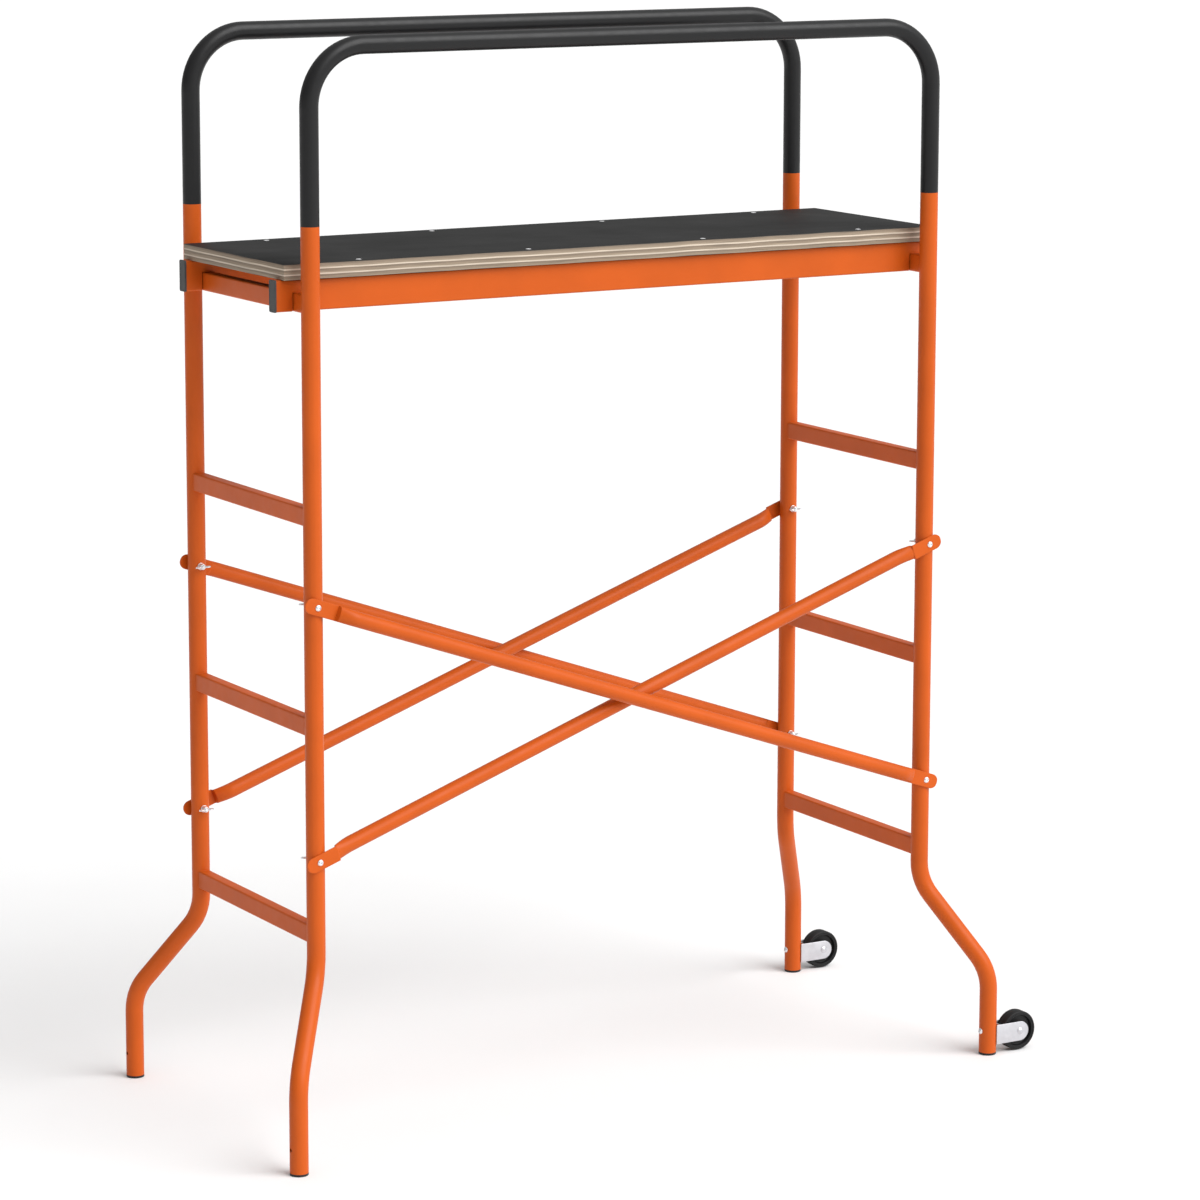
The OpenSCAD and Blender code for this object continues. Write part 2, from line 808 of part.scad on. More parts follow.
in_frame() deck_rail(-1);  // deck_rail_front
in_frame() deck_rail(1);  // deck_rail_rear
in_frame() crossbar(-end_station);  // crossbar_left
in_frame() crossbar(0);  // crossbar_middle
in_frame() crossbar(end_station);  // crossbar_right
in_frame() deck_end_caps();
in_frame() deck_screws();
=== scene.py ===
from math import cos, exp, hypot, pi, radians, sin, sqrt

import bmesh
import bpy
from mathutils import Matrix, Vector


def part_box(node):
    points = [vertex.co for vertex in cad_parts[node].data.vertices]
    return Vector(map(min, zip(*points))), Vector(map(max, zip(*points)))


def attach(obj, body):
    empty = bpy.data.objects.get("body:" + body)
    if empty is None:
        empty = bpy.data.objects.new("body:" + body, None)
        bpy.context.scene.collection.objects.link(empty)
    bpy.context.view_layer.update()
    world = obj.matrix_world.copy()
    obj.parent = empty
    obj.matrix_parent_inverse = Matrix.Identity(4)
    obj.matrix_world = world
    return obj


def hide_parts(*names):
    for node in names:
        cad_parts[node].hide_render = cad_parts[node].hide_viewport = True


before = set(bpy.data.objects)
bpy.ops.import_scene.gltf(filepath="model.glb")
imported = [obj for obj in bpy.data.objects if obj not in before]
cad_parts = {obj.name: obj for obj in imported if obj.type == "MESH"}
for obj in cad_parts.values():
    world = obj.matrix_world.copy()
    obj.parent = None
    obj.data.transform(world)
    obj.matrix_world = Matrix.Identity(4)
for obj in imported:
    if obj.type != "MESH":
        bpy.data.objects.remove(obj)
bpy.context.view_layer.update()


# ---------------------------------------------------------------- Camera
# It stands well off the front left corner, above the deck, and looks down along the scaffold
# through a long lens. Lengths are in millimetres throughout, and MM makes them Blender's metres.
MM = 0.001
guard_low, guard_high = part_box("guard_rail_front")
middle_x = (guard_low.x + guard_high.x) / 2 / MM
turn_left = -30.613
look_down = 9.72
roll = 0.132

camera = bpy.data.objects.new("camera", bpy.data.cameras.new("camera"))
camera.data.sensor_width = 36
camera.data.lens = 131.783
camera.data.shift_y = -0.06
camera.data.clip_end = 300
camera.location = (middle_x * MM - 3.6459, -6.2737, 2.1748)
aim = Matrix.Rotation(radians(turn_left), 3, "Z") @ Matrix.Rotation(radians(90 - look_down), 3, "X")
camera.rotation_euler = (aim @ Matrix.Rotation(radians(roll), 3, "Z")).to_euler()
bpy.context.scene.collection.objects.link(camera)
bpy.context.scene.camera = camera
bpy.context.scene.view_settings.view_transform = "Standard"


# ---------------------------------------------------------------- Uprights and legs
# Four steel tubes, 30 x 1.5 mm, each bent twice at the bottom so that its foot is swept outwards.
# They are drilled, welded up into two end frames with their rungs, then powder coated orange.
post_r = 15
half_x = (guard_high.x - guard_low.x) / 2 / MM - post_r
half_y = -(guard_low.y + guard_high.y) / 2 / MM


def new_finish(name):
    """A finish with nothing on it yet but its shader."""
    finish = bpy.data.materials.new(name)
    finish.use_nodes = True
    return finish


def wire(finish, node, inputs):
    """Sets a node's inputs. A value that is another node's output is linked."""
    for socket, value in inputs.items():
        if isinstance(value, bpy.types.NodeSocket):
            finish.node_tree.links.new(value, node.inputs[socket])
        else:
            node.inputs[socket].default_value = value


def put(finish, kind, inputs, **settings):
    """Adds one node to a finish."""
    node = finish.node_tree.nodes.new("ShaderNode" + kind)
    for setting, value in settings.items():
        setattr(node, setting, value)
    wire(finish, node, inputs)
    return node


def shade(finish, inputs):
    wire(finish, finish.node_tree.nodes["Principled BSDF"], inputs)


def mottle(finish, where, scale, detail=2, **settings):
    """Soft noise from 0 to 1; scale is how many patches there are in a metre."""
    inputs = {"Vector": where, "Scale": scale, "Detail": detail}
    return put(finish, "TexNoise", inputs, **settings).outputs["Fac"]


def spread(finish, value, low, high, start=0.3, end=0.7):
    """Stretches noise, which lies mostly between start and end, over low to high."""
    inputs = {"Value": value, "From Min": start, "From Max": end, "To Min": low, "To Max": high}
    return put(finish, "MapRange", inputs).outputs["Result"]


def colours(finish, factor, *stops):
    """A colour that runs through (place, colour) stops as the factor goes from 0 to 1."""
    ramp = put(finish, "ValToRGB", {"Fac": factor})
    elements = ramp.color_ramp.elements
    elements[0].position, elements[1].position = stops[0][0], stops[-1][0]
    for place, _ in stops[1:-1]:
        elements.new(place)
    for element, (_, colour) in zip(elements, stops):
        element.color = (*colour, 1)
    return ramp.outputs["Color"]


def tinted(colour, amount):
    return tuple(channel * amount for channel in colour)


def raised(finish, height, relief, under=None):
    """Bump from a height of 0 to 1; relief is its depth in millimetres."""
    inputs = {"Height": height, "Distance": relief * MM, "Strength": 1}
    if under:
        inputs["Normal"] = under
    return put(finish, "Bump", inputs).outputs["Normal"]


def powder_coat(name, colour, roughness, gloss, peel_depth):
    """Baked powder: the colour clouds a little, and the surface has a fine peel and a finer grit."""
    finish = new_finish(name)
    where = put(finish, "TexCoord", {}).outputs["Object"]
    cloud = mottle(finish, where, 11, 4)
    peel = mottle(finish, where, 520, 1)
    grit = mottle(finish, where, 2600, 1)
    wear = mottle(finish, where, 60, 3)
    shade(finish, {
        "Base Color": colours(finish, cloud, (0.3, tinted(colour, 0.94)), (0.7, tinted(colour, 1.05))),
        "Roughness": spread(finish, wear, roughness - 0.04, roughness + 0.05),
        "Normal": raised(finish, grit, peel_depth / 8, raised(finish, peel, peel_depth)),
        "Specular IOR Level": gloss,
    })
    return finish


def finish_nodes(finish, *names):
    """Gives the frame's own parts their real finish."""
    for name in names:
        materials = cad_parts[name].data.materials
        materials.clear()
        materials.append(finish)


ENDS = {"left": -1, "right": 1}
SIDES = {"front": -1, "rear": 1}
corners = [(end, side) for end in ENDS for side in SIDES]

orange_coat = powder_coat("orange_powder_coat", (0.56, 0.092, 0.0065), 0.42, 0.2, 0.03)
finish_nodes(orange_coat, *(f"post_{end}_{side}" for end, side in corners))


# ---------------------------------------------------------------- Foot plugs
# A moulded black plug is pushed into each leg. Its flange is as wide as the tube and stands on the
# floor on three grip rings.
def arc(x, z, radius, start, end, steps=5):
    """Points of an arc from one angle to another, in degrees."""
    turns = [radians(start + (end - start) * i / steps) for i in range(steps + 1)]
    return [(x + radius * cos(turn), z + radius * sin(turn)) for turn in turns]


def skin(bm, rings, loop=False):
    """Covers a row of rings of as many points. A row that isn't a loop is closed at both ends."""
    rows = [[bm.verts.new(Vector(point) * MM) for point in ring] for ring in rings]
    following = rows[1:] + (rows[:1] if loop else [])
    for near, far in zip(rows, following):
        for i in range(len(near)):
            j = (i + 1) % len(near)
            bm.faces.new((near[i], near[j], far[j], far[i]))
    if not loop:
        bm.faces.new(rows[0])
        bm.faces.new(rows[-1])


def around(place, rings):
    """Puts rings of (radius, height) points around the place's Z, at even turns."""
    placed = []
    for ring in rings:
        turns = [2 * pi * i / len(ring) for i in range(len(ring))]
        placed.append([place @ Vector((r * cos(t), r * sin(t), h)) for t, (r, h) in zip(turns, ring)])
    return placed


def turned(bm, place, profile, sides=48, loop=False):
    """A turned shape. The profile is (radius, height) points, with height along the place's Z."""
    rings = [[(r, h)] * sides for r, h in profile]
    skin(bm, around(place, rings), loop)


def make_piece(name, bm, finish, body, slot, *stands_for, crease=38):
    """Turns a finished shape into a piece that rides on its body and stands for the frame's parts."""
    bmesh.ops.recalc_face_normals(bm, faces=bm.faces)
    mesh = bpy.data.meshes.new(name)
    bm.to_mesh(mesh)
    bm.free()
    mesh.materials.append(finish)
    mesh.shade_smooth()
    mesh.set_sharp_from_angle(angle=radians(crease))
    piece = bpy.data.objects.new(name, mesh)
    bpy.context.scene.collection.objects.link(piece)
    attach(piece, body)
    if stands_for:
        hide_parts(*stands_for)
    return piece


def moulded_plastic(name, colour, roughness):
    """Injection-moulded plastic with a fine spark-eroded grain."""
    finish = new_finish(name)
    where = put(finish, "TexCoord", {}).outputs["Object"]
    grain = mottle(finish, where, 1900, 2)
    cloud = mottle(finish, where, 45, 3)
    shade(finish, {
        "Base Color": colours(finish, cloud, (0.3, tinted(colour, 0.85)), (0.7, tinted(colour, 1.15))),
        "Roughness": spread(finish, cloud, roughness - 0.05, roughness + 0.07),
        "Normal": raised(finish, grain, 0.02),
        "Specular IOR Level": 0.35,
    })
    return finish


plug_plastic = moulded_plastic("black_plug_plastic", (0.014, 0.014, 0.0145), 0.5)

grip_rings = [(2, 1), (4, 1), (4.6, 0), (7, 0), (7.6, 1), (9.6, 1), (10.2, 0)]
flange = arc(13.8, 1.2, 1.2, -90, 0) + arc(14.7, 3.65, 0.3, 0, 90, 3)
plug_stem = [(13.4, 4), (13.4, 23.4), (12.8, 24), (10.9, 24), (10.5, 23.6), (10.5, 4.8), (1, 4.8)]

for end, side in corners:
    node = f"foot_plug_{end}_{side}"
    low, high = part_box(node)
    foot = (low + high) / 2 / MM
    shape = bmesh.new()
    turned(shape, Matrix.Translation((foot.x, foot.y, 0)), grip_rings + flange + plug_stem, sides=64)
    make_piece(f"plug_{end}_{side}", shape, plug_plastic, "frame", "black_plastic", node)


# ---------------------------------------------------------------- Rungs and bearers
# Rectangular tubes, 30 x 20 mm, coped to the uprights and welded all round. The top one at each end
# is the bearer that the deck drops onto. The beads are coated along with the frame.
rung_w = 20
rung_h = 30
box_corner = 3
weld_r = 1.7
weld_sink = 0.8
ripple = 2.3
steps_in_ripple = 4
bead_low = 0.88
bead_swell = 0.14
bead_drift = 0.03
bead_start = 0.35
bead_growth = 0.25
RUNGS = ["rung_{}_low", "rung_{}_middle", "rung_{}_high", "bearer_{}"]


def rounded_box(w, h, corner, steps=6):
    """Outline of a rectangle with round corners, from the middle of its right side and up."""
    x, z = w / 2 - corner, h / 2 - corner
    return (
        [(w / 2, 0)]
        + arc(x, z, corner, 0, 90, steps)
        + arc(-x, z, corner, 90, 180, steps)
        + arc(-x, -z, corner, 180, 270, steps)
        + arc(x, -z, corner, 270, 360, steps)
    )


def even_steps(outline, step, loop=True):
    """Points at even distances along an outline."""
    line = [Vector(point) for point in outline]
    line += line[:1] if loop else []
    lengths = [(b - a).length for a, b in zip(line, line[1:])]
    total = sum(lengths)
    count = max(2, round(total / step))
    marks = [total * i / count for i in range(count if loop else count + 1)]
    points, start, leg = [], 0, 0
    for mark in marks:
        while leg < len(lengths) - 1 and mark > start + lengths[leg]:
            start += lengths[leg]
            leg += 1
        points.append(line[leg].lerp(line[leg + 1], (mark - start) / max(lengths[leg], 1e-9)))
    return points


def weld_bead(bm, path, across, radius, loop=True, sides=8):
    """A rippled bead along a path; across is a direction that the path never follows."""
    across = Vector(across)
    rings = []
    for i, point in enumerate(path):
        before = path[i - 1] if loop or i else point
        after = path[(i + 1) % len(path)] if loop or i + 1 < len(path) else point
        along = (after - before).normalized()
        out = (across - along * across.dot(along)).normalized()
        up = along.cross(out)
        rise = bead_swell * abs(sin(pi * i / steps_in_ripple)) + bead_drift * sin(i * 0.37)
        swell = radius * (bead_low + rise)
        if not loop:
            swell *= min(1, bead_start + bead_growth * min(i, len(path) - 1 - i))
        turns = [2 * pi * k / sides for k in range(sides)]
        rings.append([point + out * swell * cos(turn) + up * swell * sin(turn) for turn in turns])
    skin(bm, rings, loop)


weld_line = rounded_box(rung_w - 2 * weld_sink, rung_h - 2 * weld_sink, box_corner - weld_sink)
for end in ENDS:
    for name in RUNGS:
        rung = name.format(end)
        low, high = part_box(rung)
        centre = (low + high) / 2 / MM
        finish_nodes(orange_coat, rung)
        shape = bmesh.new()
        for way_y in SIDES.values():
            cope = []
            for p in even_steps(weld_line, ripple / steps_in_ripple):
                cope_y = half_y - sqrt((post_r - weld_sink) ** 2 - p.x**2)
                cope.append(Vector((centre.x + p.x, way_y * cope_y, centre.z + p.y)))
            weld_bead(shape, cope, (0, 1, 0), weld_r)
        make_piece(f"weld_{rung}", shape, orange_coat, "frame", "orange_powder_coat", crease=60)


# ---------------------------------------------------------------- Cross braces
# Two tubes, 25 mm across, on each long side. Each end is pressed flat, trimmed round and drilled.
# All the pressing is to one side, so that one brace passes outside the other where they cross.
brace_r = 12.5
flat_t = 3
flat_half_w = 12.5
flat_tip = 23.5
press_start = 34
press_end = 66
crease_l = 1.5
crease_share = 0.4
tip_t_share = 0.45
tip_slope = 0.4
brace_gap = 0.4
pin_low, pin_high = (
    sum(corner.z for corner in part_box(f"wing_nut_left_front_{level}")) / 2 / MM
    for level in ("low", "high")
)
brace_half = hypot(2 * half_x, pin_high - pin_low) / 2


def brace_section(reach, axis_y):
    """Half width, near face and far face of the brace at a distance from its pin, inwards."""
    from_tip = reach + flat_tip
    if reach > press_start:
        along = min(1, (reach - press_start) / (press_end - press_start))
        creased = min(1, (reach - press_start) / crease_l)
        share = crease_share * creased + (1 - crease_share) * sin(pi / 2 * along)
        low_y = -flat_t + (axis_y - brace_r + flat_t) * share
        return flat_half_w + (brace_r - flat_half_w) * share, low_y, (axis_y + brace_r) * share
    thin = min(1, tip_t_share + tip_slope * from_tip)
    if from_tip < flat_half_w:
        half_w = sqrt(flat_half_w**2 - (flat_half_w - from_tip) ** 2)
    else:
        half_w = flat_half_w
    return half_w, -flat_t / 2 * (1 + thin), -flat_t / 2 * (1 - thin)


def brace_stations():
    """Distances from the pin at which the brace is given a ring."""
    tip = [flat_half_w * (1 - cos(radians(turn))) - flat_tip for turn in range(5, 91, 5)]
    flat = [0, press_start - 1, press_start]
    crease = [press_start + crease_l * i / 4 for i in (1, 2, 3, 4)]
    pressed = [press_start + (press_end - press_start) * i / 12 for i in range(1, 13)]
    return tip + flat + crease + pressed + [press_end + 40]


def brace_ring(x, reach, axis_y, sides=72):
    """The section is a rounded rectangle where it is pressed flat, and turns into a circle."""
    half_w, near, far = brace_section(reach, axis_y)
    thick = far - near
    power = 1 - 0.8 * min(1, max(0, 1 - (reach - press_start) / crease_l))
    ring = []
    for i in range(sides):
        turn = 2 * pi * i / sides
        across, up = sin(turn), cos(turn)
        y = (near + far) / 2 + thick / 2 * abs(across) ** power * (1 if across > 0 else -1)
        ring.append(Vector((x, y, half_w * abs(up) ** power * (1 if up > 0 else -1))))
    return ring


def brace(name, way_y, outer):
    axis_y = -(flat_t + brace_gap) / 2 - brace_r if outer else (brace_gap - flat_t) / 2 + brace_r
    slope = Vector((2 * half_x, pin_high - pin_low)).angle_signed(Vector((1, 0)))
    place = (
        Matrix.Scale(-way_y, 4, (0, 1, 0))
        @ Matrix.Translation((middle_x, -half_y - post_r, (pin_low + pin_high) / 2))
        @ Matrix.Rotation(abs(slope) * (1 if outer else -1), 4, "Y")
    )
    reaches = brace_stations()
    stations = [(reach - brace_half, reach) for reach in reaches]
    stations += [(brace_half - reach, reach) for reach in reversed(reaches)]
    shape = bmesh.new()
    skin(shape, [[place @ point for point in brace_ring(x, reach, axis_y)] for x, reach in stations])
    tube = name.replace("brace", "brace_tube")
    make_piece(tube, shape, orange_coat, "frame", "orange_powder_coat", name)


for side, way_y in SIDES.items():
    brace(f"brace_{side}_outer", way_y, True)
    brace(f"brace_{side}_inner", way_y, False)


# ---------------------------------------------------------------- Brace bolts
# Eight zinc-plated M6 bolts with domed heads and a socket for a hexagon key. Each goes through a
# brace's flat end and right through the upright, and its threaded end carries a wing nut.
bolt_r = 3
head_r = 5.25
head_h = 3.3
key_size = 4
key_depth = 2.4
thread_pitch = 1
thread_depth = 0.45
bolt_length = 45.1
threaded = 9
point_chamfer = 0.8
head_skirt = 0.5


def plated_metal(name, colour, roughness, sparkle, metallic=0.85):
    """Zinc plate: a faint blue cloud, a crystal mottle and fine rubbing marks."""
    finish = new_finish(name)
    where = put(finish, "TexCoord", {}).outputs["Object"]
    cloud = mottle(finish, where, 70, 3)
    crystals = put(finish, "TexVoronoi", {"Vector": where, "Scale": 420}).outputs["Color"]
    grains = put(finish, "SeparateColor", {"Color": crystals}).outputs["Red"]
    rubbed = put(finish, "Mapping", {"Vector": where, "Scale": (260, 260, 2600)}).outputs["Vector"]
    marks = mottle(finish, rubbed, 1, 2)
    shade(finish, {
        "Base Color": colours(finish, cloud, (0.3, tinted(colour, 0.92)), (0.7, tinted(colour, 1.06))),
        "Metallic": metallic,
        "Roughness": spread(finish, grains, roughness - sparkle, roughness + sparkle, 0, 1),
        "Normal": raised(finish, marks, 0.006),
    })
    return finish


zinc = plated_metal("bright_zinc", (0.86, 0.87, 0.89), 0.34, 0.07)


def hexagon(turn, flat_r):
    """Radius of a hexagon's outline at a turn; flat_r is half its width across the flats."""
    return flat_r / cos((turn + pi / 6) % (pi / 3) - pi / 6)


def key_bolt(bm, place, length, sides=48):
    """A bolt whose head stands up from the place's XY plane and whose shank goes down from it."""
    turns = [2 * pi * i / sides for i in range(sides)]
    socket = [hexagon(turn, key_size / 2) for turn in turns]
    rise = head_h - head_skirt
    dome_r = (rise**2 + head_r**2) / (2 * rise)

    def dome(r):
        return head_h - dome_r + sqrt(dome_r**2 - r**2)

    key_floor = head_h - key_depth
    profiles = [[(r * 0.93, key_floor) for r in socket], [(r, key_floor + 0.1) for r in socket]]
    profiles.append([(r, dome(r + 0.2) - 0.15) for r in socket])
    for i in range(9):
        spans = [(r + 0.2) + (head_r - r - 0.2) * i / 8 for r in socket]
        profiles.append([(r, dome(r)) for r in spans])
    profiles += [[(r, h)] * sides for r, h in ((head_r, 0.2), (head_r - 0.2, 0), (bolt_r, 0))]
    thread_start = length - threaded
    profiles.append([(bolt_r, -thread_start)] * sides)
    for i in range(1, 8 * threaded):
        down = thread_start + i / 8
        tip = bolt_r - point_chamfer + max(0, length - down) * 1.2
        ring = []
        for turn in turns:
            phase = (down / thread_pitch + turn / (2 * pi)) % 1
            ring.append((min(tip, bolt_r - thread_depth * (1 - abs(2 * phase - 1))), -down))
        profiles.append(ring)
    profiles.append([(bolt_r - point_chamfer, -length)] * sides)
    skin(bm, around(place, profiles))


def at_pin(way_x, way_y, height):
    """Frame at a brace pin: the origin is on the upright's outer face and Z points outwards."""
    x, y, z = Vector((1, 0, 0)), Vector((0, 0, -way_y)), Vector((0, way_y, 0))
    turn = Matrix((x, y, z)).transposed().to_4x4()
    origin = (middle_x + way_x * half_x, way_y * (half_y + post_r), height)
    return Matrix.Translation(origin) @ turn


pins = {
    (end, side, level): at_pin(way_x, way_y, height)
    for end, way_x in ENDS.items()
    for side, way_y in SIDES.items()
    for level, height in (("low", pin_low), ("high", pin_high))
}

shape = bmesh.new()
for pin in pins.values():
    key_bolt(shape, pin @ Matrix.Translation((0, 0, flat_t)), bolt_length)
make_piece("brace_key_bolts", shape, zinc, "frame", "zinc_plated_steel", "brace_bolts")


# ---------------------------------------------------------------- Washers
# A plain pressed washer, 12 mm across, lies under each wing nut against the upright's inner side.
washer_r = 6
washer_t = 1.6
washer_hole_r = 3.25
edge = 0.3

washer_profile = arc(washer_r - edge, edge, edge, -90, 0, 3)
washer_profile += arc(washer_r - edge, washer_t - edge, edge, 0, 90, 3)
washer_profile += [(washer_hole_r + edge, washer_t), (washer_hole_r, washer_t - edge)]
washer_profile += [(washer_hole_r, edge), (washer_hole_r + edge, 0)]
shape = bmesh.new()
for pin in pins.values():
    seat = pin @ Matrix.Translation((0, 0, -2 * post_r - washer_t))
    turned(shape, seat, washer_profile, loop=True)
make_piece("pressed_washers", shape, zinc, "frame", "zinc_plated_steel", "brace_washers")


# ---------------------------------------------------------------- Wing nuts
# Zinc-plated castings with a tapered hub and two rounded wings, turned by hand. Each spins on its
# own bolt.
hub_r = 5.5
hub_h = 8
hub_taper = 1
lobe_x = 8.5
lobe_r = 4.5
nut_bore_r = 3.05
wing_root_x = 4
wing_foot_z = 1.6
wing_half_t = 1.15
root_flare = 0.75
nut_gap = 0.1
nut_seat = 2 * post_r + washer_t + nut_gap


def combine(bm, tool, how):
    """Joins a closed shape to another ("UNION") or cuts it with the other ("DIFFERENCE")."""
    solids = []
    for part in (bm, tool):
        bmesh.ops.recalc_face_normals(part, faces=part.faces)
        mesh = bpy.data.meshes.new("solid")
        part.to_mesh(mesh)
        part.free()
        solids.append(bpy.data.objects.new("solid", mesh))
        bpy.context.scene.collection.objects.link(solids[-1])
    cut = solids[0].modifiers.new("cut", "BOOLEAN")
    cut.operation, cut.object, cut.solver = how, solids[1], "EXACT"
    bpy.context.view_layer.update()
    evaluated = solids[0].evaluated_get(bpy.context.evaluated_depsgraph_get())
    result = bmesh.new()
    result.from_mesh(evaluated.to_mesh())
    evaluated.to_mesh_clear()
    for solid in solids:
        mesh = solid.data
        bpy.data.objects.remove(solid)
        bpy.data.meshes.remove(mesh)
    return result


def copies(bm, places):
    """The same shape at several places, as one shape."""
    mesh = bpy.data.meshes.new("pattern")
    bm.to_mesh(mesh)
    bm.free()
    result = bmesh.new()
    for place in places:
        placed = Matrix.Translation(place.translation * MM) @ place.to_3x3().to_4x4()
        start = len(result.verts)
        result.from_mesh(mesh)
        result.verts.ensure_lookup_table()
        bmesh.ops.transform(result, matrix=placed, verts=result.verts[start:])
    bpy.data.meshes.remove(mesh)
    return result


def wing_outline(x):
    """Lowest and highest point of a wing at a distance from the nut's axis."""
    off = sqrt(max(0, lobe_r**2 - (x - lobe_x) ** 2))
    if x > lobe_x:
        return hub_h - off, hub_h + off
    along = (x - wing_root_x) / (lobe_x - wing_root_x)
    return wing_foot_z + (hub_h - lobe_r - wing_foot_z) * along, hub_h + off


def wing_nut():
    """Hub up along Z with its seat at Z = 0, and the wings along X."""
    nut = bmesh.new()
    hub = [(nut_bore_r + 0.4, 0), (hub_r - 0.3, 0), (hub_r, 0.3)]
    hub.append((hub_r - hub_taper + 0.1, hub_h - 0.7))
    hub += arc(hub_r - hub_taper - 0.6, hub_h - 0.7, 0.7, 0, 90, 4)
    hub += [(nut_bore_r + 0.4, hub_h), (nut_bore_r, hub_h - 0.4), (nut_bore_r, 0.4)]
    turned(nut, Matrix.Identity(4), hub, loop=True)
    reaches = [wing_root_x, 4.4, 5, 5.8, 6.8, 7.8]
    reaches += [lobe_x + lobe_r * sin(radians(turn)) for turn in (0, 15, 30, 43, 55, 66, 75, 82)]
    for way in (-1, 1):
        rings = []
        for x in reaches:
            low, high = wing_outline(x)
            half_t = wing_half_t + root_flare * exp((wing_root_x - x) / 1.1)
            half_h = (high - low) / 2
            ring = []
            for k in range(20):
                turn = 2 * pi * k / 20
                c, s = cos(turn), sin(turn)
                bulge = (abs(c) ** 4 + abs(s) ** 4) ** -0.25
                ring.append((way * x, half_t * c * bulge, (low + high) / 2 + half_h * s * bulge))
            rings.append(ring)
        wing = bmesh.new()
        skin(wing, rings)
        nut = combine(nut, wing, "UNION")
    return nut


for (end, side, level), pin in pins.items():
    name = f"wing_nut_{end}_{side}_{level}"
    inward = pin @ Matrix.Translation((0, 0, -nut_seat)) @ Matrix.Rotation(pi, 4, "X")
    shape = copies(wing_nut(), [inward])
    casting = name.replace("nut", "nut_casting")
    make_piece(casting, shape, zinc, name, "zinc_plated_steel", name, crease=50)


# ---------------------------------------------------------------- Wheel forks
# Two round-ended cheeks, 34 x 2.5 mm, are welded to a web that stands against the foot, and all of it
# is zinc plated. The cheeks run back beside the foot, so the fork can't turn on its one bolt.
wheel_low, wheel_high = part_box("tyre_front")
fork_t = 2.5
fork_h = 34
fork_half_w = 14.5
fork_edge = 0.6
web_edge = 0.3
ear_gap = 0.5
axle_x = (wheel_low.x + wheel_high.x) / 2 / MM
axle_z = (wheel_low.z + wheel_high.z) / 2 / MM
foot_low, foot_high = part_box("foot_plug_right_rear")
foot_x = (foot_low.x + foot_high.x) / 2 / MM
foot_y = (foot_low.y + foot_high.y) / 2 / MM
web_x = foot_x + post_r
ear_x = foot_x + sqrt(post_r**2 - (fork_half_w - fork_t) ** 2) + ear_gap

fork_zinc = plated_metal("fork_zinc", (0.62, 0.62, 0.65), 0.46, 0.05)


def cheek(y):
    """One cheek, from the edge beside the foot to its round end, with eased edges."""
    half_h = fork_h / 2
    stations = [(ear_x, half_h - fork_edge, fork_t - fork_edge)]
    stations.append((ear_x + fork_edge / 2, half_h - 0.1, fork_t - 0.2))
    stations += [(ear_x + fork_edge, half_h, fork_t), (axle_x, half_h, fork_t)]
    for turn in range(6, 85, 6):
        stations.append((axle_x + half_h * sin(radians(turn)), half_h * cos(radians(turn)), fork_t))
    stations.append((axle_x + half_h - 0.03, 1.1, fork_t - fork_edge))
    shape = bmesh.new()
    rings = []
    for x, high, thick in stations:
        outline = rounded_box(thick, 2 * high, min(fork_edge, high * 0.5, thick * 0.4), 3)
        rings.append([(x, y + across, axle_z + up) for across, up in outline])
    skin(shape, rings)
    return shape


def fork(y):
    """A web with a cheek on each side."""
    web = bmesh.new()
    half_w = fork_half_w - fork_t / 2
    place = Matrix.Translation(Vector((web_x + fork_t / 2, y, axle_z)) * MM)
    size = Vector((fork_t, 2 * half_w, fork_h)) * MM
    bmesh.ops.create_cube(web, size=1, matrix=place @ Matrix.Diagonal((*size, 1)))
    bmesh.ops.bevel(
        web, geom=web.edges[:], offset=web_edge * MM, segments=2, affect="EDGES", profile=0.5
    )
    for way in (-1, 1):
        web = combine(web, cheek(y + way * half_w), "UNION")
    return web


for side, way_y in SIDES.items():
    shape = fork(way_y * foot_y)
    node = f"wheel_fork_{side}"
    make_piece(f"welded_fork_{side}", shape, fork_zinc, "frame", "zinc_plated_steel", node)


# ---------------------------------------------------------------- Fork bolts and nuts
# One M6 key bolt goes through each right foot and the fork's web, with a chamfered hexagon nut
# inside the fork.
fork_bolt_z = 42
fork_bolt_length = 38.7
nut_r = 5
nut_h = 5
chamfer_slope = 1.8
chamfer_steps = (0, 0.12, 0.24, 0.36, 0.5)


def hex_nut(bm, place, sides=72):
    """A hexagon nut with a cone chamfer on both faces and a chamfered bore."""
    turns = [2 * pi * i / sides for i in range(sides)]
    heights = [*chamfer_steps, nut_h / 2, *(nut_h - step for step in reversed(chamfer_steps))]
    profiles = []
    for h in heights:
        cone_r = nut_r - 0.1 + chamfer_slope * min(h, nut_h - h)
        profiles.append([(min(hexagon(turn, nut_r), cone_r), h) for turn in turns])
    bore = [(3.5, nut_h), (3.05, nut_h - 0.45), (3.05, 0.45), (3.5, 0)]
    profiles += [[point] * sides for point in bore]
    skin(bm, around(place, profiles), loop=True)


bolts, nuts = bmesh.new(), bmesh.new()
for way_y in SIDES.values():
    towards_x = Matrix.Rotation(pi / 2, 4, "Y")
    head_at = Matrix.Translation((foot_x - post_r, way_y * foot_y, fork_bolt_z))
    key_bolt(bolts, head_at @ towards_x.inverted(), fork_bolt_length)
    hex_nut(nuts, Matrix.Translation((web_x + fork_t, way_y * foot_y, fork_bolt_z)) @ towards_x)
make_piece("fork_key_bolts", bolts, zinc, "frame", "zinc_plated_steel", "fork_bolts")
make_piece("fork_hex_nuts", nuts, zinc, "frame", "zinc_plated_steel", "fork_nuts", crease=25)


